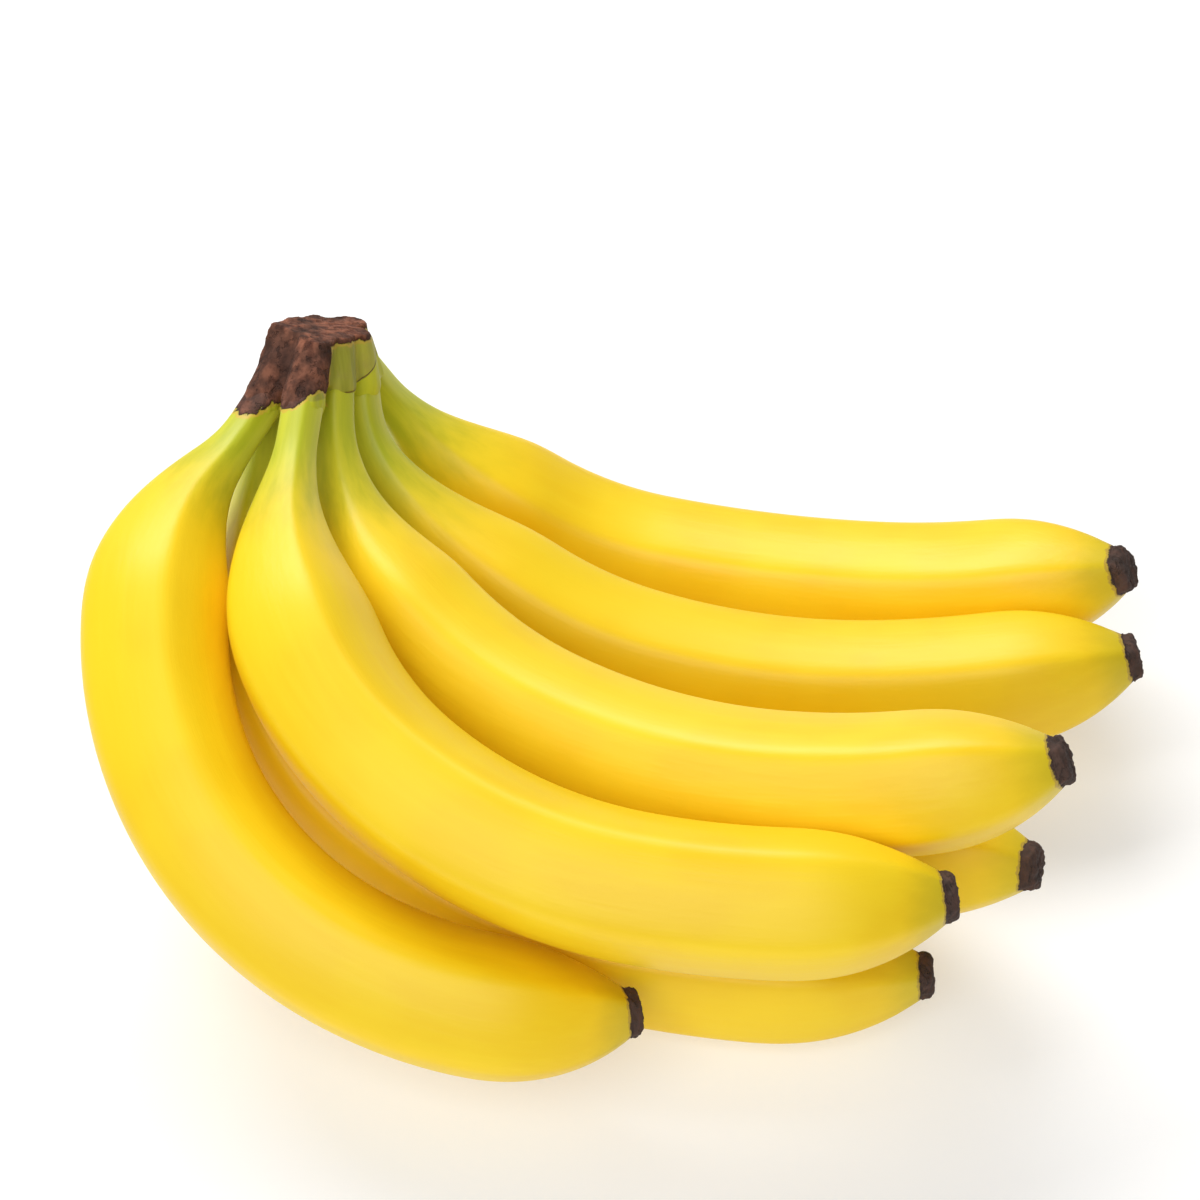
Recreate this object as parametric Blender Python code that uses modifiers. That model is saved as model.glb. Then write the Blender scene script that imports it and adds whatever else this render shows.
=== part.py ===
"""A hand of seven bananas, cut from its stalk and lying on a flat surface.

Metres, +Z up. The surface is Z = 0, and the origin lies on it under the middle
of the hand's box. The fingers run towards +X, and the front ones are at -Y.
Five fingers hang in the outer row of the crown and two in the inner row.
"""
import math
from collections import namedtuple

import bmesh
import bpy
from mathutils import Euler, Vector

MM = 0.001

# ---- Driving dimensions: millimetres and degrees ----------------------------

# The crown's own frame: X along the rows of necks, Y from the outer row to the
# inner one, Z away from the fingers. Its origin is in the middle of the necks.
CROWN_PLACE = (-68.9, 67.3, 85.1)
CROWN_TURN = (-26, 29, 50)

# The crown's block: its ends along the rows and its edges across them, at the
# foot and at the cut top, which slopes down towards the outer row.
FOOT_ENDS = (-17, 13)
FOOT_EDGES = (-6, 13)
FOOT_HEIGHT = 2
TOP_ENDS = (-11.5, 8)
TOP_EDGES = (-6, 9)
TOP_HEIGHTS = (13.5, 17.5)
BLOCK_ROUNDING = 2.0

# The roots of the necks reach into the block: how far they draw in towards its
# middle along the rows and across them, how high, and how slim they are there.
DRAWN_IN = (0.4, 0.4)
ROOT_HEIGHT = 9.0
ROOT_RADIUS = 4.5

# The crown is cut back by this much around every neck, for this part of its length.
GAP = 0.4
CLEARED = 0.12

# A finger's radii, and where along it they change, as fractions of its length. The
# shoulder, where the neck has swollen to the body, is its own on every finger.
NECK_RADIUS = 4.9
BODY_RADIUS = 17.5
TIP_RADIUS = 6.0
NECK_END = 0.045
NOSE = 0.84
STUB = 0.985
NOSE_BLUNTNESS = 2.4
CORNERS = 5
FLATTENING = 0.06

# The fingers. seat is the neck's place on the crown, in the crown's frame. start is
# the bearing (0 is +X, 90 is +Y) and the climb of a finger's middle line there. The
# line bends in one plane, which roll turns about the start: 0 bends to the left and
# 90 bends upwards. turns are the angles turned through by each later one of STATIONS.
STATIONS = (0.0, 0.1, 0.25, 0.45, 0.7, 1.0)
Finger = namedtuple("Finger", "seat length girth shoulder start roll turns")
FINGERS = {
    "banana_a": Finger((-15.5, 8.5, 0.5), 233, 0.99, 0.275, (-117, -15), -16,
                       (-10, 20, 49, 88, 128)),
    "banana_b": Finger((-18.5, -4.5, 0), 239, 1.01, 0.275, (-97, -17), -1,
                       (0, 23, 55, 85, 105)),
    "banana_c": Finger((-4, -3, 1.5), 231, 0.98, 0.275, (-93, -36), 15,
                       (14, 42, 66, 86, 106)),
    "banana_d": Finger((6.5, -2.5, 0.5), 222, 0.96, 0.3, (-89, -54), 3,
                       (31, 50, 73, 90, 105)),
    "banana_e": Finger((15.5, 4, 4.2), 219, 0.97, 0.275, (-6, -59.5), 94.4,
                       (2, 20, 53.5, 66, 89.5)),
    "banana_f": Finger((-6, 13, -1), 254, 0.92, 0.275, (-106, -29), -6,
                       (10, 23, 64, 91, 107)),
    "banana_g": Finger((6, 10, -0.5), 249, 0.98, 0.275, (-94, -52), 17,
                       (1, 31, 75, 90, 91)),
}

# ---- Fineness of the solids --------------------------------------------------

SIDES = 15
STEPS = 32

PEEL_COLOUR = (0.86, 0.60, 0.05, 1.0)
CROWN_COLOUR = (0.18, 0.11, 0.06, 1.0)


# ---- Scene helpers -----------------------------------------------------------

def clear_scene():
    for old in list(bpy.data.objects):
        bpy.data.objects.remove(old, do_unlink=True)


def make_collection(name):
    collection = bpy.data.collections.new(name)
    bpy.context.scene.collection.children.link(collection)
    return collection


def make_material(name, colour, roughness):
    material = bpy.data.materials.new(name)
    material.use_nodes = True
    shader = material.node_tree.nodes["Principled BSDF"]
    shader.inputs["Base Color"].default_value = colour
    shader.inputs["Roughness"].default_value = roughness
    shader.inputs["Metallic"].default_value = 0.0
    return material


def make_object(name, solid, collection, material=None):
    """Turn a finished bmesh into an object of the collection."""
    bmesh.ops.recalc_face_normals(solid, faces=solid.faces)
    mesh = bpy.data.meshes.new(name)
    solid.to_mesh(mesh)
    solid.free()
    mesh.shade_smooth()
    mesh.set_sharp_from_angle(angle=math.radians(40))
    if material:
        mesh.materials.append(material)
    made = bpy.data.objects.new(name, mesh)
    collection.objects.link(made)
    return made


# ---- Fingers -----------------------------------------------------------------

def crown_matrix():
    """The crown's frame: turned by CROWN_TURN and set at CROWN_PLACE."""
    turn = Euler([math.radians(angle) for angle in CROWN_TURN]).to_matrix().to_4x4()
    turn.translation = Vector(CROWN_PLACE) * MM
    return turn


def neck_root(finger):
    """Where a finger's middle line leaves the crown."""
    return crown_matrix() @ (Vector(finger.seat) * MM)


def turned_by(turns, fraction):
    """The angle a finger has turned through at a fraction of its length."""
    angles = (0, *turns)
    for begin, end, first, last in zip(STATIONS, STATIONS[1:], angles, angles[1:]):
        if fraction <= end:
            return first + (last - first) * (fraction - begin) / (end - begin)
    return angles[-1]


def heading(finger, fraction):
    """The direction of a finger's middle line at a fraction of its length."""
    bearing, climb = (math.radians(angle) for angle in finger.start)
    level = math.cos(climb)
    start = Vector((level * math.cos(bearing), level * math.sin(bearing), math.sin(climb)))
    left = Vector((-math.sin(bearing), math.cos(bearing), 0))
    roll = math.radians(finger.roll)
    inward = left * math.cos(roll) + start.cross(left) * math.sin(roll)
    angle = math.radians(turned_by(finger.turns, fraction))
    return start * math.cos(angle) + inward * math.sin(angle)


def radius_at(fraction, finger):
    """A slim neck, a swelling shoulder, an even body, a round nose and a stub."""
    body = BODY_RADIUS * finger.girth
    if fraction <= NOSE:
        rise = min(max((fraction - NECK_END) / (finger.shoulder - NECK_END), 0), 1)
        return NECK_RADIUS + (body - NECK_RADIUS) * rise * rise * (3 - 2 * rise)
    fall = min((fraction - NOSE) / (STUB - NOSE), 1)
    return TIP_RADIUS + (body - TIP_RADIUS) * (1 - fall ** NOSE_BLUNTNESS)


def section(centre, side, up, radius):
    """A ring of points: a circle that is flattened between its corners."""
    ring = []
    for index in range(SIDES):
        angle = math.tau * index / SIDES
        reach = radius * (1 - FLATTENING * (1 - math.cos(CORNERS * angle)) / 2) * MM
        ring.append(centre + side * (reach * math.cos(angle)) + up * (reach * math.sin(angle)))
    return ring


def loft(rings):
    """One closed solid through the rings, with a flat face at each end."""
    solid = bmesh.new()
    loops = [[solid.verts.new(point) for point in ring] for ring in rings]
    for near, far in zip(loops, loops[1:]):
        for index in range(SIDES):
            after = (index + 1) % SIDES
            solid.faces.new((near[index], near[after], far[after], far[index]))
    solid.faces.new(loops[0])
    solid.faces.new(loops[-1])
    return solid


def rings_along(finger, last, spare):
    """Walk the middle line from the crown, with one ring of points at each step."""
    step = finger.length * MM / STEPS
    centre = neck_root(finger)
    along = heading(finger, 0)
    side = along.orthogonal().normalized()
    start = centre - along * (spare * MM)
    rings = [section(start, side, along.cross(side), NECK_RADIUS + spare)]
    for index in range(1, last + 1):
        fraction = index / STEPS
        centre = centre + heading(finger, fraction - 0.5 / STEPS) * step
        turned = heading(finger, fraction)
        side = along.rotation_difference(turned) @ side
        along = turned
        radius = radius_at(fraction, finger) + spare
        rings.append(section(centre, side, along.cross(side), radius))
    return rings


# ---- Crown -------------------------------------------------------------------

def make_block(collection, material):
    """The woody block: a cube drawn in to the raw cut top, with rounded edges."""
    solid = bmesh.new()
    bmesh.ops.create_cube(solid, size=2)
    for corner in solid.verts:
        end, edge, top = (0 if value < 0 else 1 for value in corner.co)
        along = TOP_ENDS[end] if top else FOOT_ENDS[end]
        across = TOP_EDGES[edge] if top else FOOT_EDGES[edge]
        height = TOP_HEIGHTS[edge] if top else FOOT_HEIGHT
        corner.co = Vector((along, across, height)) * MM
    block = make_object("crown", solid, collection, material)
    block.matrix_world = crown_matrix()
    rounding = block.modifiers.new("rounded edges", "BEVEL")
    rounding.width = BLOCK_ROUNDING * MM
    rounding.segments = 2
    return block


def make_root(name, finger, cutters):
    """The root of one neck, drawn in to the middle of the block."""
    along = heading(finger, 0)
    side = along.orthogonal().normalized()
    up = along.cross(side)
    seat_x, seat_y, _ = finger.seat
    inside = (seat_x * DRAWN_IN[0], seat_y * DRAWN_IN[1], ROOT_HEIGHT)
    head = section(crown_matrix() @ (Vector(inside) * MM), side, up, ROOT_RADIUS)
    mouth = section(neck_root(finger), side, up, NECK_RADIUS)
    return make_cutter(name, [head, mouth], cutters)


def make_cutter(name, rings, cutters):
    cutter = make_object(name, loft(rings), cutters)
    cutter.hide_render = True
    cutter.display_type = "WIRE"
    return cutter


def combine(body, tool, operation):
    step = body.modifiers.new(operation.lower() + " " + tool.name, "BOOLEAN")
    step.operation = operation
    step.object = tool


def make_crown(collection, cutters, material):
    """The block with the root of every neck grown onto it, cut back around the necks."""
    crown = make_block(collection, material)
    for name, finger in FINGERS.items():
        combine(crown, make_root(name + "_root", finger, cutters), "UNION")
    for name, finger in FINGERS.items():
        room = make_cutter(name + "_room", rings_along(finger, round(CLEARED * STEPS), GAP), cutters)
        combine(crown, room, "DIFFERENCE")
    return crown


def main():
    clear_scene()
    hand = make_collection("bunch_of_bananas")
    cutters = make_collection("cutters")
    peel = make_material("peel", PEEL_COLOUR, 0.45)
    wood = make_material("crown_wood", CROWN_COLOUR, 0.85)
    make_crown(hand, cutters, wood)
    for name, finger in FINGERS.items():
        make_object(name, loft(rings_along(finger, STEPS, 0)), hand, peel)


main()
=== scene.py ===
# %% [markdown]
# # A hand of seven bananas
# Bananas grow in rows on a stalk. One row, cut off with the woody pad that its
# fruits share, is called a hand, and each fruit is a finger. This lesson loads
# the plain solids of such a hand as a frame, then models a finger and the crown
# by hand, gives them peel, bark and dry tips, and lights the result softly.

# %% Load the frame
import math

import bpy
from mathutils import Euler, Matrix, Vector


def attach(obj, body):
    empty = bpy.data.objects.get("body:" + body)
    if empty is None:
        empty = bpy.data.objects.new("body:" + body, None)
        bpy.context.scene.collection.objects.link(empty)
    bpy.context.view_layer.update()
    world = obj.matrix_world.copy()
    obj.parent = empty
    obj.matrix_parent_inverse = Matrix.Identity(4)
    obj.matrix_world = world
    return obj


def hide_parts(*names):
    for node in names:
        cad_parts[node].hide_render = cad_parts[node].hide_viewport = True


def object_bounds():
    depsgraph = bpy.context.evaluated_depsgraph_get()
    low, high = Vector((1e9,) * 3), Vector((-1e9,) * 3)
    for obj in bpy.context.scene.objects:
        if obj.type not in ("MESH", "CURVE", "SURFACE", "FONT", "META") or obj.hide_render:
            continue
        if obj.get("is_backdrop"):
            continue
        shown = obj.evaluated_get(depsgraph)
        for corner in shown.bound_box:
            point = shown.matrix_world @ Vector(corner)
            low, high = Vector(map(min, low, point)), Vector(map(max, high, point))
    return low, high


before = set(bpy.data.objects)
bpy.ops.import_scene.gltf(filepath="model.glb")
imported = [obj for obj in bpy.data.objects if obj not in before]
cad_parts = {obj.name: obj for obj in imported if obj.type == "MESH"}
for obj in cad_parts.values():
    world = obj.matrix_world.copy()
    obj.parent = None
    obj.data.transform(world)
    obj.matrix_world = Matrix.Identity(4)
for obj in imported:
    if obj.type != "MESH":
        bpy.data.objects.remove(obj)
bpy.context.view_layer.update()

MM = 0.001
print("solids:", ", ".join(sorted(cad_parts)))

# %% [markdown]
# ## Sizes
# The solids were made from a few numbers, and the new pieces have to lie exactly
# where the solids do, so the same numbers stand here. Lengths are millimetres
# and angles are degrees. A finger leaves its seat on the crown along `start`,
# which is a bearing and a climb. It bends in one plane, as real ones do when
# they turn up towards the light, and `turns` are the angles that it has turned
# through at `STATIONS`, fractions of its length. `shoulder` is the fraction where
# the neck has swollen to the body, and `ridge` turns its five ridges.

# %% The crown's place and the fingers
CROWN_PLACE = (-68.9, 67.3, 85.1)
CROWN_TURN = (-26, 29, 50)
STATIONS = (0.0, 0.1, 0.25, 0.45, 0.7, 1.0)
FINGERS = {
    "banana_a": dict(seat=(-15.5, 8.5, 0.5), length=233, girth=0.99, shoulder=0.275,
                     start=(-117, -15), roll=-16, turns=(-10, 20, 49, 88, 128), ridge=85),
    "banana_b": dict(seat=(-18.5, -4.5, 0), length=239, girth=1.01, shoulder=0.275,
                     start=(-97, -17), roll=-1, turns=(0, 23, 55, 85, 105), ridge=76),
    "banana_c": dict(seat=(-4, -3, 1.5), length=231, girth=0.98, shoulder=0.275,
                     start=(-93, -36), roll=15, turns=(14, 42, 66, 86, 106), ridge=70),
    "banana_d": dict(seat=(6.5, -2.5, 0.5), length=222, girth=0.96, shoulder=0.3,
                     start=(-89, -54), roll=3, turns=(31, 50, 73, 90, 105), ridge=66),
    "banana_e": dict(seat=(15.5, 4, 4.2), length=219, girth=0.97, shoulder=0.275,
                     start=(-6, -59.5), roll=94.4, turns=(2, 20, 53.5, 66, 89.5), ridge=31),
    "banana_f": dict(seat=(-6, 13, -1), length=254, girth=0.92, shoulder=0.275,
                     start=(-106, -29), roll=-6, turns=(10, 23, 64, 91, 107), ridge=108),
    "banana_g": dict(seat=(6, 10, -0.5), length=249, girth=0.98, shoulder=0.275,
                     start=(-94, -52), roll=17, turns=(1, 31, 75, 90, 91), ridge=61),
}

crown_frame = Euler([math.radians(angle) for angle in CROWN_TURN]).to_matrix().to_4x4()
crown_frame.translation = Vector(CROWN_PLACE) * MM
print("crown at", [round(value, 4) for value in crown_frame.translation])

# %% [markdown]
# ## Small helpers
# An operator acts on everything that is selected, and loading the frame leaves
# its solids selected. So every step starts by choosing what it works on. In edit
# mode the vertices are chosen by a rule on their place, as one would with a box
# select.

# %% Choosing what an operator works on
def work_on(piece):
    """Make one object the only selected one, and the active one."""
    bpy.ops.object.select_all(action="DESELECT")
    piece.select_set(True)
    bpy.context.view_layer.objects.active = piece


def select_where(piece, rule):
    """Select the vertices whose place follows the rule, in edit mode."""
    bpy.ops.object.mode_set(mode="EDIT")
    bpy.ops.mesh.select_mode(type="VERT")
    bpy.ops.mesh.select_all(action="DESELECT")
    bpy.ops.object.mode_set(mode="OBJECT")
    for vertex in piece.data.vertices:
        vertex.select = bool(rule(vertex.co))
    bpy.ops.object.mode_set(mode="EDIT")


def apply_modifier(piece, kind, **settings):
    """Add a modifier, set it up and apply it."""
    work_on(piece)
    modifier = piece.modifiers.new(kind.title(), kind)
    for setting, value in settings.items():
        setattr(modifier, setting, value)
    bpy.ops.object.modifier_apply(modifier=modifier.name)


def store(piece, name, rule):
    """Keep a vector on every vertex, in millimetres, for the materials to read."""
    layer = piece.data.attributes.new(name, "FLOAT_VECTOR", "POINT")
    values = [number for vertex in piece.data.vertices for number in rule(vertex.co)]
    layer.data.foreach_set("vector", values)


print("helpers ready")

# %% [markdown]
# ## One straight finger
# A banana is five sided: five carpels grew together, and their ridges still show
# in the peel. It is slim at the neck, swells to the shoulder, stays even along
# the body and closes at the blunt nose, which keeps the dry stub of its flower.
# A pentagon is the natural start. Cutting its sides finely and drawing them part
# of the way to a circle gives the soft facets, and extruding that ring again and
# again, resized each time, follows the shape. The finger is modelled straight
# first, because every ring is then a plain slice.

# %% The rings along a finger
MODEL_LENGTH = 240.0
NECK_RADIUS = 4.9
BODY_RADIUS = 17.5
TIP_RADIUS = 6.3
NECK_END = 0.045
SHOULDER = 0.275
NOSE = 0.84
PEEL_END = MODEL_LENGTH - 2.6
NOSE_BLUNTNESS = 2.25


def radius_at(along):
    """The radius of the model finger at a distance from its seat."""
    fraction = along / MODEL_LENGTH
    if fraction <= NOSE:
        rise = min(max((fraction - NECK_END) / (SHOULDER - NECK_END), 0), 1)
        return NECK_RADIUS + (BODY_RADIUS - NECK_RADIUS) * rise * rise * (3 - 2 * rise)
    fall = (fraction - NOSE) / (PEEL_END / MODEL_LENGTH - NOSE)
    return TIP_RADIUS + (BODY_RADIUS - TIP_RADIUS) * (1 - min(fall, 1) ** NOSE_BLUNTNESS)


stops = [0, 3, 6, 9, 12, 16, 20, 24, 28, 32, 36, 40, 44, 48, 52, 56, 60, 65, 71, 78, 86, 95]
stops += [105, 115, 125, 135, 145, 155, 165, 174, 182, 189, 195, 200, 205, 209.5, 213.5, 217]
stops += [220.5, 224, 227, 229.5, 232, 234, 235.5, 236.5, PEEL_END]
rings = [(along, radius_at(along)) for along in stops]
rings += [(237.6, 6.15), (237.9, 5.95), (238.8, 6.0), (239.7, 5.85), (240.4, 5.3)]
rings += [(240.75, 4.3), (240.75, 2.8), (240.5, 1.4)]
print(len(rings), "rings, the widest", round(max(radius for _, radius in rings) * 2, 1), "mm")

# %% Extrude the finger ring by ring
SIDES = 5
ROUNDED = 0.43
SHRINKAGE_MADE_UP = 1.115
bpy.ops.object.select_all(action="DESELECT")
bpy.ops.mesh.primitive_circle_add(vertices=SIDES, radius=NECK_RADIUS, rotation=(0, math.pi / 2, 0))
straight = bpy.context.object
straight.name = "straight_finger"
bpy.ops.object.transform_apply(location=True, rotation=True, scale=True)
bpy.ops.object.mode_set(mode="EDIT")
bpy.ops.mesh.select_all(action="SELECT")
bpy.ops.mesh.subdivide(number_cuts=3)
bpy.ops.transform.tosphere(value=ROUNDED)
bpy.ops.transform.resize(value=(1, SHRINKAGE_MADE_UP, SHRINKAGE_MADE_UP), center_override=(0, 0, 0))
for (near, before), (far, after) in zip(rings, rings[1:]):
    bpy.ops.mesh.extrude_edges_move(TRANSFORM_OT_translate={"value": (far - near, 0, 0)})
    slim = after / before
    bpy.ops.transform.resize(value=(1, slim, slim), center_override=(far, 0, 0))
bpy.ops.mesh.edge_face_add()
select_where(straight, lambda place: place.x < 0.01)
bpy.ops.mesh.edge_face_add()
bpy.ops.mesh.select_all(action="SELECT")
bpy.ops.mesh.normals_make_consistent(inside=False)
bpy.ops.object.mode_set(mode="OBJECT")
print("straight finger:", len(straight.data.vertices), "vertices")

# %% [markdown]
# ## Ridges that stay crisp
# Subdivision rounds everything alike, but the ridges of a banana keep a fairly
# tight edge between flat facets. A crease of less than one on the five long rows
# of edges holds them back a little. The outermost vertices of each ring are the
# corners of the pentagon, so the others can be found from one of them by angle.

# %% Crease the ridges and round the rest
first = max(straight.data.vertices, key=lambda vertex: math.hypot(vertex.co.y, vertex.co.z))
corner = math.atan2(first.co.z, first.co.y)
step = math.tau / SIDES


def on_ridge(place):
    """Whether a place lies on one of the five ridges of the body."""
    turn = (math.atan2(place.z, place.y) - corner + step / 2) % step - step / 2
    return abs(turn) < 0.02 and 12 < place.x < PEEL_END - 2


select_where(straight, on_ridge)
bpy.ops.transform.edge_crease(value=0.20)
bpy.ops.object.mode_set(mode="OBJECT")
apply_modifier(straight, "SUBSURF", levels=2, render_levels=2)
work_on(straight)
bpy.ops.object.shade_smooth()
print("rounded finger:", len(straight.data.polygons), "faces")

# %% [markdown]
# ## Seven bent fingers
# Each finger is a copy of the straight one with its own mesh: stretched to its
# length and girth, and a little more where its neck stays slim for longer, then
# turned so that its ridges face the right way, and bent along a flat curve by
# the Curve modifier, which is how one would bend it by hand.
# Before it is bent, every vertex remembers where it was on the straight finger,
# so that the peel's markings can follow the finger round its bend. Afterwards a
# matrix carries it from the flat curve to its seat on the crown.

# %% The flat curve a finger bends along
def turned_by(turns, fraction):
    """The angle a finger has turned through at a fraction of its length."""
    angles = (0, *turns)
    for begin, end, low, high in zip(STATIONS, STATIONS[1:], angles, angles[1:]):
        if fraction <= end:
            return math.radians(low + (high - low) * (fraction - begin) / (end - begin))
    return math.radians(angles[-1])


def bending_curve(finger):
    """A flat curve that turns to the left by the finger's turns."""
    steps = 180
    pace = finger["length"] * MM / steps
    places = [Vector((0, 0, 0))]
    for index in range(steps):
        angle = turned_by(finger["turns"], (index + 0.5) / steps)
        places.append(places[-1] + Vector((math.cos(angle), math.sin(angle), 0)) * pace)
    data = bpy.data.curves.new("bend", "CURVE")
    data.dimensions = "2D"
    line = data.splines.new("POLY")
    line.points.add(steps)
    for point, place in zip(line.points, places):
        point.co = (*place, 1)
    curve = bpy.data.objects.new("bend", data)
    bpy.context.scene.collection.objects.link(curve)
    return curve


def finger_frame(finger):
    """The matrix from the flat curve to the finger's seat on the crown."""
    bearing, climb = (math.radians(angle) for angle in finger["start"])
    level = math.cos(climb)
    start = Vector((level * math.cos(bearing), level * math.sin(bearing), math.sin(climb)))
    left = Vector((-math.sin(bearing), math.cos(bearing), 0))
    roll = math.radians(finger["roll"])
    inward = left * math.cos(roll) + start.cross(left) * math.sin(roll)
    turn = Matrix((start, inward, start.cross(inward))).transposed().to_4x4()
    turn.translation = crown_frame @ (Vector(finger["seat"]) * MM)
    return turn


print("banana_b bends through", FINGERS["banana_b"]["turns"][-1], "degrees")

# %% Copy, stretch, bend and place every finger
PAST_TIP = 1.1
STUB_LENGTH = 2.3
WRINKLE_DEPTH = 1.3
wrinkles = bpy.data.textures.new("dry wrinkles", "CLOUDS")
wrinkles.noise_scale = 1.6 * MM
wrinkles.noise_depth = 2


def stretched(along, finger):
    """A distance along the model finger, stretched to a finger with its own shoulder."""
    marks = (0, NECK_END, SHOULDER, NOSE, PAST_TIP)
    moved = (0, NECK_END, finger["shoulder"], NOSE, PAST_TIP)
    fraction = along / MODEL_LENGTH
    for before, after, low, high in zip(marks, marks[1:], moved, moved[1:]):
        if fraction <= after:
            break
    return (low + (high - low) * (fraction - before) / (after - before)) * finger["length"]


def make_finger(number, name, finger):
    """One finger of the hand, from the straight model."""
    piece = straight.copy()
    piece.data = straight.data.copy()
    piece.name = name + "_peel"
    bpy.context.scene.collection.objects.link(piece)
    for vertex in piece.data.vertices:
        vertex.co.x = stretched(vertex.co.x, finger)
    girth = finger["girth"]
    shape = Matrix.Diagonal((1, girth, girth, 1))
    ridge = Matrix.Rotation(math.radians(finger["ridge"]) - corner, 4, "X")
    piece.data.transform(ridge @ shape)
    length = finger["length"]
    store(piece, "straight", lambda place: place)
    store(piece, "grown", lambda place: (place.x, length - place.x, number))
    piece.data.transform(Matrix.Scale(MM, 4))
    curve = bending_curve(finger)
    apply_modifier(piece, "CURVE", object=curve, deform_axis="POS_X")
    bpy.data.objects.remove(curve)
    piece.data.transform(finger_frame(finger))
    to_crown = Matrix.Scale(1 / MM, 4) @ crown_frame.inverted()
    store(piece, "crown_place", lambda place: to_crown @ place)
    stub = piece.vertex_groups.new(name="dry tip")
    grown = piece.data.attributes["grown"].data
    chosen = [index for index, item in enumerate(grown) if item.vector[1] < STUB_LENGTH]
    stub.add(chosen, 1.0, "REPLACE")
    apply_modifier(piece, "DISPLACE", texture=wrinkles, vertex_group="dry tip",
                   strength=WRINKLE_DEPTH * MM, mid_level=0.5)
    return piece


peels = {}
for number, (name, finger) in enumerate(FINGERS.items()):
    peels[name] = make_finger(number, name, finger)
bpy.data.objects.remove(straight)
print("bent", len(peels), "fingers of", len(peels["banana_a"].data.polygons), "faces")

# %% [markdown]
# ## The crown
# The crown is the pad of wood that held the fingers to the stalk. It is cut on
# top and torn at its left end, where the hand was parted from the rest, and the
# roots of the fingers run up its sides as soft ribs. It starts as a cube drawn in
# to its top, with a tapering root for each finger, and all of it is fused by a
# voxel remesh and smoothed, because wood that grew together has no seams. The
# saw cut on top comes last, so that it stays flat.

# %% The block
FOOT_ENDS = (-17, 13)
FOOT_EDGES = (-6, 13)
FOOT_HEIGHT = 2
TOP_ENDS = (-10.5, 5.0)
TOP_EDGES = (-6, 9)
TOP_HEIGHTS = (13.5, 17.5)
SPARE_HEIGHT = 3


def middle(pair):
    """Half way between two numbers."""
    return (pair[0] + pair[1]) / 2


def span(pair):
    """From the first number to the second."""
    return pair[1] - pair[0]


bpy.ops.object.select_all(action="DESELECT")
tallest = max(TOP_HEIGHTS) + SPARE_HEIGHT
foot_middle = (middle(FOOT_ENDS), middle(FOOT_EDGES), middle((FOOT_HEIGHT, tallest)))
bpy.ops.mesh.primitive_cube_add(size=1, location=foot_middle,
                                scale=(span(FOOT_ENDS), span(FOOT_EDGES), tallest - FOOT_HEIGHT))
crown = bpy.context.object
crown.name = "crown_pad"
bpy.ops.object.transform_apply(location=True, rotation=True, scale=True)
select_where(crown, lambda place: place.z > foot_middle[2])
draw_in = (span(TOP_ENDS) / span(FOOT_ENDS), span(TOP_EDGES) / span(FOOT_EDGES), 1)
bpy.ops.transform.resize(value=draw_in, center_override=(foot_middle[0], foot_middle[1], tallest))
shift = (middle(TOP_ENDS) - foot_middle[0], middle(TOP_EDGES) - foot_middle[1], 0)
bpy.ops.transform.translate(value=shift)
bpy.ops.object.mode_set(mode="OBJECT")
print("block:", [round(size, 1) for size in crown.dimensions], "mm")

# %% The roots of the fingers
ROOT_RADIUS = 5.3
MOUTH_RADIUS = 4.6
HEAD_RADIUS = 3.9
HEAD_HEIGHT = 17.0
OUTER_ROW = -3.4
REACH = 2.6
SKIRT = 6.5
TORN_END = -15.0


def make_root(finger):
    """A tapering root from the cut down over the neck, longer at the torn end."""
    to_crown = crown_frame.inverted().to_3x3()
    leaving = to_crown @ (finger_frame(finger).to_3x3() @ Vector((1, 0, 0)))
    seat = Vector(finger["seat"])
    head = Vector((seat.x * (0.45 if seat.x < 10 else 0.6), seat.y * 0.5, HEAD_HEIGHT))
    if seat.y < 0:
        head.y = OUTER_ROW
    reach = SKIRT if seat.x < TORN_END else REACH
    waist = seat.lerp(head, 0.45) - leaving * 1.5
    places = [seat + leaving * reach, seat, waist, head]
    widths = [MOUTH_RADIUS, ROOT_RADIUS, 0.5 * (ROOT_RADIUS + HEAD_RADIUS), HEAD_RADIUS]
    ways = [leaving, leaving, (seat - head).normalized(), (seat - head).normalized()]
    bpy.ops.object.select_all(action="DESELECT")
    bpy.ops.mesh.primitive_circle_add(vertices=24, radius=1, fill_type="NGON")
    root = bpy.context.object
    bpy.ops.object.mode_set(mode="EDIT")
    bpy.ops.mesh.select_all(action="SELECT")
    for _ in places[1:]:
        bpy.ops.mesh.extrude_region_move(TRANSFORM_OT_translate={"value": (0, 0, 1)})
    bpy.ops.object.mode_set(mode="OBJECT")
    for vertex in root.data.vertices:
        level = round(vertex.co.z)
        turn = Vector((0, 0, 1)).rotation_difference(-ways[level])
        flat = Vector((vertex.co.x, vertex.co.y, 0)) * widths[level]
        vertex.co = places[level] + turn @ flat
    work_on(root)
    bpy.ops.object.mode_set(mode="EDIT")
    bpy.ops.mesh.select_all(action="SELECT")
    bpy.ops.mesh.normals_make_consistent(inside=False)
    bpy.ops.object.mode_set(mode="OBJECT")
    return root


roots = [make_root(finger) for finger in FINGERS.values()]
print(len(roots), "roots")

# %% Fuse the block and its roots
VOXEL = 0.45
FINE_VOXEL = 0.42
bpy.ops.object.select_all(action="DESELECT")
for root in roots:
    root.select_set(True)
crown.select_set(True)
bpy.context.view_layer.objects.active = crown
bpy.ops.object.join()
apply_modifier(crown, "REMESH", mode="VOXEL", voxel_size=VOXEL)
apply_modifier(crown, "SMOOTH", factor=0.5, iterations=14)
print("fused crown:", len(crown.data.polygons), "faces")

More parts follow.
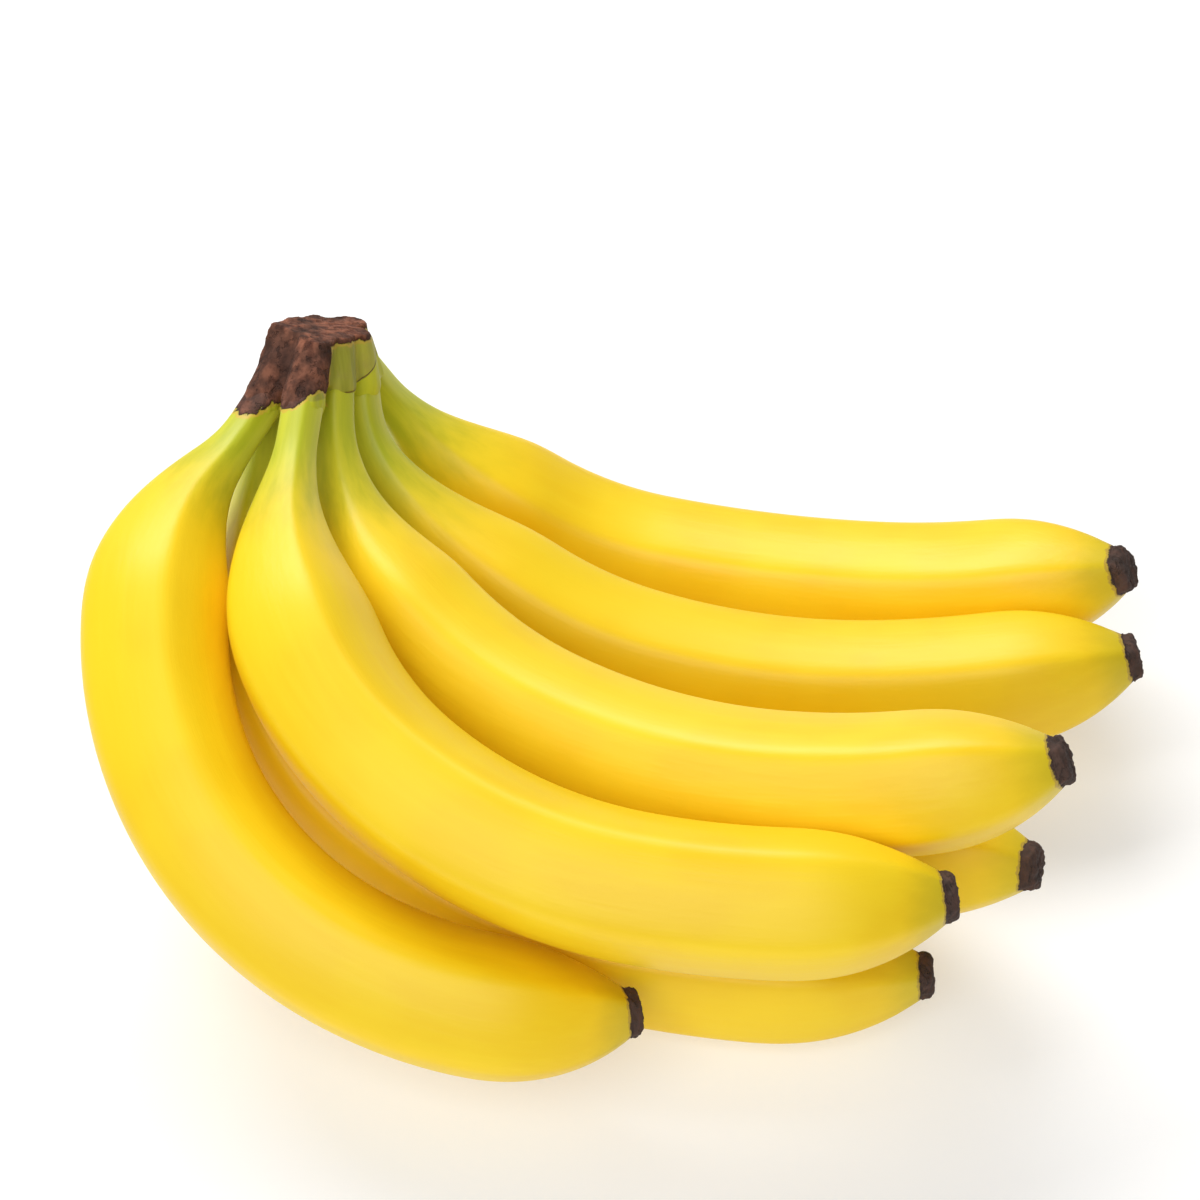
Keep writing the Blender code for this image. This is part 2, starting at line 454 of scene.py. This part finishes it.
# %% The saw cut
slope = math.atan2(span(TOP_HEIGHTS), span(TOP_EDGES))
top_cut = Vector((0, TOP_EDGES[0], TOP_HEIGHTS[0]))
top_way = Vector((0, -math.sin(slope), math.cos(slope)))
work_on(crown)
bpy.ops.object.mode_set(mode="EDIT")
bpy.ops.mesh.select_all(action="SELECT")
bpy.ops.mesh.bisect(plane_co=top_cut, plane_no=top_way, use_fill=True, clear_outer=True)
bpy.ops.object.mode_set(mode="OBJECT")
apply_modifier(crown, "REMESH", mode="VOXEL", voxel_size=FINE_VOXEL)
apply_modifier(crown, "SMOOTH", factor=0.5, iterations=2)
print("cut crown:", len(crown.data.polygons), "faces")

# %% [markdown]
# ## Rough wood
# The cut wood dried and split, so it is uneven where the green skin is smooth.
# A vertex group with a soft edge says how much of the roughness each vertex
# takes, and a Displace modifier with a cloud texture moves it in and out.

# %% Roughen the cut wood
BARK_EDGE = -10.5


def bark_share(place):
    """How far a place in the crown's own frame belongs to the cut wood."""
    height = (place - top_cut).dot(top_way)
    on_top = min(max((height + 1.4) / 1.0, 0), 1)
    on_end = min(max((BARK_EDGE - place.x + 0.5) / 1.2, 0), 1)
    return max(on_top, on_end)


bark = crown.vertex_groups.new(name="bark")
for vertex in crown.data.vertices:
    bark.add([vertex.index], bark_share(vertex.co), "REPLACE")
lumps = bpy.data.textures.new("dry lumps", "CLOUDS")
lumps.noise_scale = 3.4
lumps.noise_depth = 2
apply_modifier(crown, "DISPLACE", texture=lumps, vertex_group="bark", strength=0.9, mid_level=0.5)
store(crown, "crown_place", lambda place: place)
crown.data.transform(crown_frame @ Matrix.Scale(MM, 4))
work_on(crown)
bpy.ops.object.shade_smooth()
print("crown size, mm:", [round(size / MM, 1) for size in crown.dimensions])

# %% [markdown]
# ## Materials: a small kit
# The markings are drawn by nodes, from where a point was on the straight finger
# or in the crown's own frame, so they follow every bend and never slide. A few
# helpers keep the node trees short. Each takes a number or another node's output
# for any of its inputs.

# %% Node helpers
def feed(tree, socket, value):
    """Give an input its value: another node's output, or a plain number or colour."""
    if isinstance(value, bpy.types.NodeSocket):
        tree.links.new(value, socket)
    else:
        socket.default_value = value


def sums(tree, operation, *values, clamp=False):
    """A Math node."""
    node = tree.nodes.new("ShaderNodeMath")
    node.operation = operation
    node.use_clamp = clamp
    for socket, value in zip(node.inputs, values):
        feed(tree, socket, value)
    return node.outputs[0]


def ease(tree, value, low, high, start=0.0, end=1.0):
    """A smooth step: start below low, end above high."""
    node = tree.nodes.new("ShaderNodeMapRange")
    node.interpolation_type = "SMOOTHSTEP"
    for socket, number in zip(node.inputs, (value, low, high, start, end)):
        feed(tree, socket, number)
    return node.outputs[0]


def noise(tree, place, scale, detail=2.0, roughness=0.5, stretch=(1, 1, 1), shift=(0, 0, 0)):
    """Cloudy noise around 0.5, stretched by a Mapping node."""
    mapping = tree.nodes.new("ShaderNodeMapping")
    feed(tree, mapping.inputs["Vector"], place)
    mapping.inputs["Location"].default_value = shift
    mapping.inputs["Scale"].default_value = stretch
    node = tree.nodes.new("ShaderNodeTexNoise")
    tree.links.new(mapping.outputs[0], node.inputs["Vector"])
    node.inputs["Scale"].default_value = scale
    node.inputs["Detail"].default_value = detail
    node.inputs["Roughness"].default_value = roughness
    return node.outputs["Fac"]


def blend(tree, factor, first, second):
    """Mix two colours."""
    node = tree.nodes.new("ShaderNodeMix")
    node.data_type = "RGBA"
    feed(tree, node.inputs[0], factor)
    feed(tree, node.inputs[6], first)
    feed(tree, node.inputs[7], second)
    return node.outputs[2]


def split(tree, vector):
    """The three numbers of a vector."""
    node = tree.nodes.new("ShaderNodeSeparateXYZ")
    feed(tree, node.inputs[0], vector)
    return node.outputs


def kept(tree, name):
    """A vector that was stored on the vertices."""
    node = tree.nodes.new("ShaderNodeAttribute")
    node.attribute_name = name
    return node.outputs["Vector"]


def new_group(name, inputs, outputs):
    """An empty node group with named inputs and outputs."""
    group = bpy.data.node_groups.new(name, "ShaderNodeTree")
    for label, kind in inputs.items():
        group.interface.new_socket(name=label, in_out="INPUT", socket_type="NodeSocket" + kind)
    for label, kind in outputs.items():
        group.interface.new_socket(name=label, in_out="OUTPUT", socket_type="NodeSocket" + kind)
    given = group.nodes.new("NodeGroupInput").outputs
    result = group.nodes.new("NodeGroupOutput").inputs
    return group, given, result


def place_group(tree, group, **values):
    """Place a node group in a tree, with values for its inputs."""
    node = tree.nodes.new("ShaderNodeGroup")
    node.node_tree = group
    for label, value in values.items():
        feed(tree, node.inputs[label.replace("_", " ")], value)
    return node.outputs


print("node kit ready")

# %% [markdown]
# ## Bark
# The cut wood of the crown, its torn edge over the nearest necks and the dry
# stubs at the tips are the same kind of thing: dead tissue that dried dark. One
# group colours it all. It takes a place in millimetres and a redness, and puts
# out a colour and a height: dark fibres, reddish patches and near-black cracks.

# %% The bark group
bark_group, given, result = new_group(
    "dry bark", {"Place": "Vector", "Redness": "Float"}, {"Color": "Color", "Height": "Float"})
patches = noise(bark_group, given["Place"], 0.15, 3, 0.55, shift=(4, 0, 2))
fibres = noise(bark_group, given["Place"], 0.42, 4, 0.58, stretch=(1, 1, 0.6))
grain = noise(bark_group, given["Place"], 2.2, 3, 0.6)
cracks = noise(bark_group, given["Place"], 0.36, 4, 0.62, shift=(7, 3, 1))
cracks = ease(bark_group, cracks, 0.46, 0.38)
dark = blend(bark_group, ease(bark_group, fibres, 0.34, 0.66), (0.045, 0.021, 0.014, 1),
             (0.100, 0.043, 0.028, 1))
red = blend(bark_group, ease(bark_group, fibres, 0.32, 0.66), (0.115, 0.038, 0.022, 1),
            (0.30, 0.115, 0.066, 1))
warm = ease(bark_group, patches, 0.40, 0.60, 0.15, 1.0)
warm = sums(bark_group, "MULTIPLY", warm, given["Redness"])
brown = blend(bark_group, warm, dark, red)
depth = sums(bark_group, "MULTIPLY", cracks, 0.35)
brown = blend(bark_group, depth, brown, (0.020, 0.011, 0.009, 1))
feed(bark_group, result["Color"], brown)
rise = sums(bark_group, "MULTIPLY", fibres, 0.5)
rise = sums(bark_group, "ADD", rise, sums(bark_group, "MULTIPLY", grain, 0.12))
feed(bark_group, result["Height"], sums(bark_group, "SUBTRACT", rise, depth))
print("group:", bark_group.name)

# %% [markdown]
# ## The torn edge
# Where the hand was parted from its neighbours the bark has a torn lower edge
# that laps over the necks of the two nearest fingers in soft lobes. The crown and
# the peels are different pieces, so one group decides for both, from the place in
# the crown's own frame, and the edge runs on from one piece to the next. It puts
# out how much is bark, a dark rim of painted shade along the edge, where the
# lapping bark would shade the skin, and a yellowed halo beside it.

# %% The torn edge group
LOBE_MIDDLE = 7.5
LOBE_WIDTH = 12.0
HEM = 1.5
FLANK = 12.3
torn_group, given, result = new_group(
    "torn edge", {"Place": "Vector"}, {"Bark": "Float", "Rim shade": "Float", "Halo": "Float"})
crown_x, crown_y, crown_z = split(torn_group, given["Place"])
ragged = sums(torn_group, "SUBTRACT", noise(torn_group, given["Place"], 0.20, 2, 0.5), 0.5)
frayed = noise(torn_group, given["Place"], 0.42, 3, 0.55, shift=(3, 9, 4))
frayed = sums(torn_group, "SUBTRACT", frayed, 0.5)

from_end = sums(torn_group, "SUBTRACT", BARK_EDGE, crown_x)
from_end = sums(torn_group, "ADD", from_end, sums(torn_group, "MULTIPLY", ragged, 3.0))
from_lobe = sums(torn_group, "SUBTRACT", crown_y, LOBE_MIDDLE)
wave = sums(torn_group, "MULTIPLY", from_lobe, math.tau / LOBE_WIDTH)
lobes = sums(torn_group, "MULTIPLY", sums(torn_group, "COSINE", wave), 0.9)
beyond = sums(torn_group, "MAXIMUM", sums(torn_group, "SUBTRACT", -5.0, crown_y), 0.0)
beyond = sums(torn_group, "MULTIPLY", sums(torn_group, "POWER", beyond, 2.0), 0.10)
slant = sums(torn_group, "MULTIPLY", from_lobe, 0.085)
above_hem = sums(torn_group, "ADD", sums(torn_group, "ADD", crown_z, slant), lobes)
above_hem = sums(torn_group, "ADD", above_hem, HEM)
above_hem = sums(torn_group, "SUBTRACT", above_hem, beyond)
above_hem = sums(torn_group, "ADD", above_hem, sums(torn_group, "MULTIPLY", frayed, 4.0))
flank = sums(torn_group, "SUBTRACT", FLANK, crown_y)
flank = sums(torn_group, "ADD", flank, sums(torn_group, "MULTIPLY", frayed, 3.0))
high = sums(torn_group, "MULTIPLY", sums(torn_group, "SUBTRACT", crown_z, 3.5), 3.0)
flank = sums(torn_group, "ADD", flank, sums(torn_group, "MAXIMUM", high, 0.0))
on_end = sums(torn_group, "MINIMUM", sums(torn_group, "MINIMUM", from_end, above_hem), flank)
fall = span(TOP_HEIGHTS) / span(TOP_EDGES)
cut_height = sums(torn_group, "MULTIPLY_ADD", crown_y, fall, TOP_HEIGHTS[0] - TOP_EDGES[0] * fall)
on_top = sums(torn_group, "ADD", sums(torn_group, "SUBTRACT", crown_z, cut_height), 1.2)
on_top = sums(torn_group, "ADD", on_top, sums(torn_group, "MULTIPLY", frayed, 3.0))
inside = sums(torn_group, "MAXIMUM", on_end, on_top)
feed(torn_group, result["Bark"], ease(torn_group, inside, -0.10, 0.10))
# The rim is painted shade: a dark line along the edge of the bark.
edge = sums(torn_group, "ABSOLUTE", sums(torn_group, "SUBTRACT", inside, 0.15))
feed(torn_group, result["Rim shade"], ease(torn_group, edge, 0.60, 0.10))
halo = sums(torn_group, "ABSOLUTE", sums(torn_group, "ADD", inside, 0.55))
feed(torn_group, result["Halo"], ease(torn_group, halo, 0.75, 0.15))
print("group:", torn_group.name)

# %% [markdown]
# ## The peel
# Ripe peel is a warm yellow that is never quite even. It stays green where the
# neck is fed last and keeps an olive cast just before the dry tip. Fine fibres
# run along it. The surface is waxy, so its gloss is soft and slightly uneven.
# Shallow bumps along the finger break up the reflection.

# %% The peel group
GREEN_STARTS, GREEN_ENDS = 12.0, 52.0
OLIVE_STARTS, OLIVE_ENDS = 2.0, 13.0
APART = 317.0
peel_group, given, result = new_group(
    "ripe peel",
    {"Straight": "Vector", "From crown": "Float", "From tip": "Float", "Number": "Float"},
    {"Color": "Color", "Roughness": "Float", "Height": "Float"})
apart = peel_group.nodes.new("ShaderNodeCombineXYZ")
feed(peel_group, apart.inputs[0], sums(peel_group, "MULTIPLY", given["Number"], APART))
moved = peel_group.nodes.new("ShaderNodeVectorMath")
feed(peel_group, moved.inputs[0], given["Straight"])
feed(peel_group, moved.inputs[1], apart.outputs[0])
skin = moved.outputs[0]
clouds = noise(peel_group, skin, 0.035, 2, 0.5)
streaks = noise(peel_group, skin, 0.30, 3, 0.55, stretch=(0.10, 1, 1))
fine = noise(peel_group, skin, 1.1, 3, 0.6, stretch=(0.12, 1, 1))
pores = noise(peel_group, skin, 1.6, 2, 0.5)
yellow = blend(peel_group, ease(peel_group, clouds, 0.38, 0.62),
               (0.91, 0.600, 0.004, 1), (0.94, 0.645, 0.006, 1))
yellow = blend(peel_group, ease(peel_group, streaks, 0.35, 0.70, 0.0, 0.30), yellow,
               (0.95, 0.68, 0.012, 1))
uneven = sums(peel_group, "MULTIPLY", sums(peel_group, "SUBTRACT", clouds, 0.5), 24.0)
streaky = sums(peel_group, "MULTIPLY", sums(peel_group, "SUBTRACT", streaks, 0.5), 10.0)
uneven = sums(peel_group, "ADD", uneven, streaky)
green_end = sums(peel_group, "ADD", given["From crown"], uneven)
green = ease(peel_group, green_end, GREEN_ENDS, GREEN_STARTS)
leaf = blend(peel_group, ease(peel_group, streaks, 0.3, 0.7),
             (0.45, 0.485, 0.016, 1), (0.58, 0.59, 0.030, 1))
colour = blend(peel_group, green, yellow, leaf)
olive_end = sums(peel_group, "ADD", given["From tip"], sums(peel_group, "MULTIPLY", uneven, 0.35))
olive = ease(peel_group, olive_end, OLIVE_ENDS, OLIVE_STARTS, 0.0, 0.55)
colour = blend(peel_group, olive, colour, (0.50, 0.43, 0.010, 1))
rough = sums(peel_group, "ADD", 0.37, sums(peel_group, "MULTIPLY", clouds, 0.10))
rough = sums(peel_group, "ADD", rough, sums(peel_group, "MULTIPLY", fine, 0.06))
height = sums(peel_group, "MULTIPLY", streaks, 0.10)
height = sums(peel_group, "ADD", height, sums(peel_group, "MULTIPLY", fine, 0.03))
height = sums(peel_group, "ADD", height, sums(peel_group, "MULTIPLY", pores, 0.012))
feed(peel_group, result["Color"], colour)
feed(peel_group, result["Roughness"], rough)
feed(peel_group, result["Height"], height)
print("group:", peel_group.name)

# %% [markdown]
# ## The materials
# The shader stays in the material itself, with its fixed numbers on its own
# sockets. The peel is waxy skin, and at the ends of a finger it has torn bark or
# a dark dry stub with a ragged edge and a thin tan rim. The long body between
# them has none of that, so its faces take a plainer material with the same skin
# and are much quicker to draw. The crown is green skin with ribs where the roots
# run up, and bark on its cuts.

# %% A material with a bump
def new_material(name, specular):
    """A material with a Principled shader, its tree, and a Bump node in millimetres."""
    material = bpy.data.materials.new(name)
    material.use_nodes = True
    tree = material.node_tree
    shader = tree.nodes["Principled BSDF"]
    shader.inputs["Specular IOR Level"].default_value = specular
    bump = tree.nodes.new("ShaderNodeBump")
    bump.inputs["Distance"].default_value = MM
    tree.links.new(bump.outputs[0], shader.inputs["Normal"])
    return material, tree, shader, bump


# %% The peel of a body, and a start for the peel of its ends
PEEL_GLOSS = 0.46


def peel_material(name):
    """A material with the ripe peel group in its tree, not yet joined to the shader."""
    material, tree, shader, bump = new_material(name, PEEL_GLOSS)
    from_crown, from_tip, number = split(tree, kept(tree, "grown"))
    skin = place_group(tree, peel_group, Straight=kept(tree, "straight"), From_crown=from_crown,
                       From_tip=from_tip, Number=number)
    return material, tree, shader, bump, skin, from_tip


body_peel, tree, shader, bump, skin, _ = peel_material("banana_peel")
feed(tree, shader.inputs["Base Color"], skin["Color"])
feed(tree, shader.inputs["Roughness"], skin["Roughness"])
feed(tree, bump.inputs["Height"], skin["Height"])
print("material:", body_peel.name)

# %% The peel at the neck and the tip
DRY_LENGTH = 2.7
# The colour of the painted shade along the torn edge of the bark.
RIM_SHADE_COLOUR = (0.065, 0.024, 0.014, 1)
end_peel, tree, shader, bump, skin, from_tip = peel_material("banana_peel_ends")
torn = place_group(tree, torn_group, Place=kept(tree, "crown_place"))
ragged = sums(tree, "SUBTRACT", noise(tree, kept(tree, "crown_place"), 0.45, 3, 0.6), 0.5)
tip_edge = sums(tree, "ADD", from_tip, sums(tree, "MULTIPLY", ragged, 2.0))
dry = ease(tree, tip_edge, DRY_LENGTH + 0.15, DRY_LENGTH - 0.15)
from_rim = sums(tree, "ABSOLUTE", sums(tree, "SUBTRACT", tip_edge, DRY_LENGTH + 0.25))
tan = ease(tree, from_rim, 0.40, 0.05, 0.0, 0.6)
squeezed = tree.nodes.new("ShaderNodeMapping")
squeezed.inputs["Scale"].default_value = (1.6, 0.55, 0.55)
feed(tree, squeezed.inputs["Vector"], kept(tree, "crown_place"))
stub = place_group(tree, bark_group, Place=squeezed.outputs[0], Redness=0.0)
neck = place_group(tree, bark_group, Place=kept(tree, "crown_place"), Redness=0.55)
grey = blend(tree, 0.35, stub["Color"], (0.055, 0.038, 0.030, 1))
colour = blend(tree, tan, skin["Color"], (0.36, 0.20, 0.05, 1))
colour = blend(tree, dry, colour, grey)
halo = sums(tree, "MULTIPLY", torn["Halo"], 0.75)
colour = blend(tree, halo, colour, (0.66, 0.42, 0.05, 1))
colour = blend(tree, torn["Bark"], colour, neck["Color"])
# Painted shade: a dark line along the torn edge, where the bark laps over the neck.
colour = blend(tree, sums(tree, "MULTIPLY", torn["Rim shade"], 0.7), colour, RIM_SHADE_COLOUR)
dead = sums(tree, "MAXIMUM", dry, torn["Bark"])
feed(tree, shader.inputs["Base Color"], colour)
rough = sums(tree, "ADD", skin["Roughness"], sums(tree, "MULTIPLY", dead, 0.40), clamp=True)
feed(tree, shader.inputs["Roughness"], rough)
dead_height = sums(tree, "MULTIPLY", dry, sums(tree, "MULTIPLY", stub["Height"], 1.1))
neck_height = sums(tree, "MULTIPLY", torn["Bark"], sums(tree, "ADD", neck["Height"], 0.5))
height = sums(tree, "ADD", skin["Height"], sums(tree, "ADD", dead_height, neck_height))
feed(tree, bump.inputs["Height"], height)
print("material:", end_peel.name)

# %% The crown material
CROWN_GLOSS = 0.22
wood, tree, shader, bump = new_material("crown_bark", CROWN_GLOSS)
place = kept(tree, "crown_place")
torn = place_group(tree, torn_group, Place=place)
top_share = ease(tree, split(tree, place)[2], 11.5, 13.5, 0.55, 1.0)
bark_look = place_group(tree, bark_group, Place=place, Redness=top_share)
crown_x, crown_y, crown_z = split(tree, place)
ribs = noise(tree, place, 0.34, 2, 0.5, stretch=(1, 1, 0.12))
blotches = noise(tree, place, 0.16, 3, 0.55)
green = blend(tree, ease(tree, ribs, 0.35, 0.65), (0.28, 0.285, 0.028, 1), (0.42, 0.41, 0.050, 1))
green = blend(tree, ease(tree, blotches, 0.5, 0.75, 0.0, 0.5), green, (0.33, 0.27, 0.07, 1))
leaf = blend(tree, ease(tree, ribs, 0.3, 0.7), (0.42, 0.455, 0.016, 1), (0.54, 0.555, 0.028, 1))
along_scar = sums(tree, "MAXIMUM", sums(tree, "ADD", crown_x, 4.0), 0.0)
scar_rise = sums(tree, "MULTIPLY_ADD", along_scar, 0.035, 0.12)
scar_rise = sums(tree, "MULTIPLY_ADD", along_scar, scar_rise, -0.2)
scar_height = sums(tree, "ADD", scar_rise, sums(tree, "MULTIPLY", blotches, 1.0))
from_scar = sums(tree, "SUBTRACT", crown_z, scar_height)
green = blend(tree, ease(tree, from_scar, -0.3, 0.3), leaf, green)
scar = ease(tree, sums(tree, "ABSOLUTE", from_scar), 0.34, 0.08, 0.0, 0.8)
scar = sums(tree, "MULTIPLY", scar, ease(tree, crown_x, -12.5, -11.0))
colour = blend(tree, scar, green, (0.12, 0.06, 0.025, 1))
colour = blend(tree, sums(tree, "MULTIPLY", torn["Halo"], 0.6), colour, (0.55, 0.36, 0.05, 1))
# Painted shade: a soft near-black patch on the torn end of the bark, as if a hollow there lay in
# shade.
from_shaded_hollow = tree.nodes.new("ShaderNodeVectorMath")
from_shaded_hollow.operation = "DISTANCE"
feed(tree, from_shaded_hollow.inputs[0], place)
from_shaded_hollow.inputs[1].default_value = (-14, 1.8, 8.5)
hollow_shade = sums(tree, "ADD", from_shaded_hollow.outputs["Value"], sums(tree, "MULTIPLY", blotches, 5.0))
hollow_shade = ease(tree, hollow_shade, 8.5, 4.5, 0.0, 0.65)
bark_colour = blend(tree, hollow_shade, bark_look["Color"], (0.035, 0.018, 0.014, 1))
colour = blend(tree, torn["Bark"], colour, bark_colour)
# Painted shade: a dark line along the edge of the bark.
colour = blend(tree, sums(tree, "MULTIPLY", torn["Rim shade"], 0.7), colour, RIM_SHADE_COLOUR)
feed(tree, shader.inputs["Base Color"], colour)
rough = sums(tree, "ADD", 0.48, sums(tree, "MULTIPLY", torn["Bark"], 0.38))
feed(tree, shader.inputs["Roughness"], sums(tree, "ADD", rough, sums(tree, "MULTIPLY", ribs, 0.1)))
green_height = sums(tree, "MULTIPLY", ribs, 0.5)
green_height = sums(tree, "SUBTRACT", green_height, sums(tree, "MULTIPLY", scar, 0.25))
bark_height = sums(tree, "MULTIPLY", torn["Bark"], sums(tree, "ADD", bark_look["Height"], 0.3))
feed(tree, bump.inputs["Height"], sums(tree, "ADD", green_height, bark_height))
print("material:", wood.name)

# %% [markdown]
# ## Joining the frame
# Every new piece rides on the hand's one body, stands for the solid that it
# replaces, and takes its materials.

# %% Dress the solids
NECK_REACH = 30.0
TIP_REACH = 6.0
for name, piece in peels.items():
    piece.data.materials.clear()
    piece.data.materials.append(body_peel)
    piece.data.materials.append(end_peel)
    grown = piece.data.attributes["grown"].data
    for face in piece.data.polygons:
        ends = [grown[corner].vector for corner in face.vertices]
        face.material_index = any(end[0] < NECK_REACH or end[1] < TIP_REACH for end in ends)
    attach(piece, "root")
    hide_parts(name)
crown.data.materials.clear()
crown.data.materials.append(wood)
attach(crown, "root")
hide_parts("crown")
print("dressed", len(peels) + 1, "pieces")

# %% [markdown]
# ## Floor, light and camera
# A pale floor fills the view. One wide soft box stands behind and above, which
# gives the upper facets their pale sheen. A larger one in front, as high, reaches
# the lower facets that face the viewer, and an even sky and a floor that glows a
# little keep the shadows light.

# %% The floor
bpy.ops.object.select_all(action="DESELECT")
bpy.ops.mesh.primitive_plane_add(size=6)
floor = bpy.context.object
floor.name = "floor"
paper, tree, shader, _ = new_material("pale_floor", 0.2)
speckle = noise(tree, kept(tree, "position"), 900.0, 2)
shade = blend(tree, ease(tree, speckle, 0.3, 0.7), (0.61, 0.61, 0.61, 1), (0.63, 0.63, 0.63, 1))
feed(tree, shader.inputs["Base Color"], shade)
shader.inputs["Roughness"].default_value = 0.8
shader.inputs["Emission Color"].default_value = (1, 1, 1, 1)
shader.inputs["Emission Strength"].default_value = 0.40
floor.data.materials.append(paper)
floor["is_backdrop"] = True
print("floor:", [round(size, 1) for size in floor.dimensions[:2]], "m")

# %% The lights
def soft_box(name, place, aim, size, power):
    """A rectangular area light that faces a point."""
    data = bpy.data.lights.new(name, "AREA")
    data.shape = "RECTANGLE"
    data.size, data.size_y = size
    data.energy = power
    lamp = bpy.data.objects.new(name, data)
    bpy.context.scene.collection.objects.link(lamp)
    way = Vector(aim) - Vector(place)
    turn = way.to_track_quat("-Z", "Y").to_matrix().to_4x4()
    lamp.matrix_world = Matrix.Translation(place) @ turn


soft_box("behind", (-0.38, 0.90, 1.18), (0, 0, 0.05), (1.3, 0.6), 20)
soft_box("in_front", (-0.34, -1.05, 1.18), (0, 0, 0.05), (1.6, 1.2), 17.5)
sky = bpy.data.worlds.new("sky")
sky.use_nodes = True
sky.node_tree.nodes["Background"].inputs["Color"].default_value = (1, 1, 1, 1)
sky.node_tree.nodes["Background"].inputs["Strength"].default_value = 0.22
bpy.context.scene.world = sky
bpy.context.scene.view_settings.view_transform = "Standard"
print("two soft boxes and a sky")

# %% The camera
ELEVATION = math.radians(47)
DISTANCE = 1.2
look_at = Vector((-5.5, 15.3, 67.3)) * MM
away = Vector((0, -math.cos(ELEVATION), math.sin(ELEVATION))) * DISTANCE
camera = bpy.data.objects.new("camera", bpy.data.cameras.new("camera"))
bpy.context.scene.collection.objects.link(camera)
camera.location = look_at + away
camera.rotation_euler = (math.pi / 2 - ELEVATION, 0, 0)
camera.data.sensor_width = 36
camera.data.lens = 153.2
camera.data.clip_start = 0.05
bpy.context.scene.camera = camera
print("camera at", [round(value, 3) for value in camera.location])

# %% [markdown]
# ## The size
# The box of the finished pieces is printed, in millimetres.

# %% Write the sizes and finish
low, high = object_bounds()
print("box of the pieces, mm:", [round((high - low) / MM, 1) for low, high in zip(low, high)])
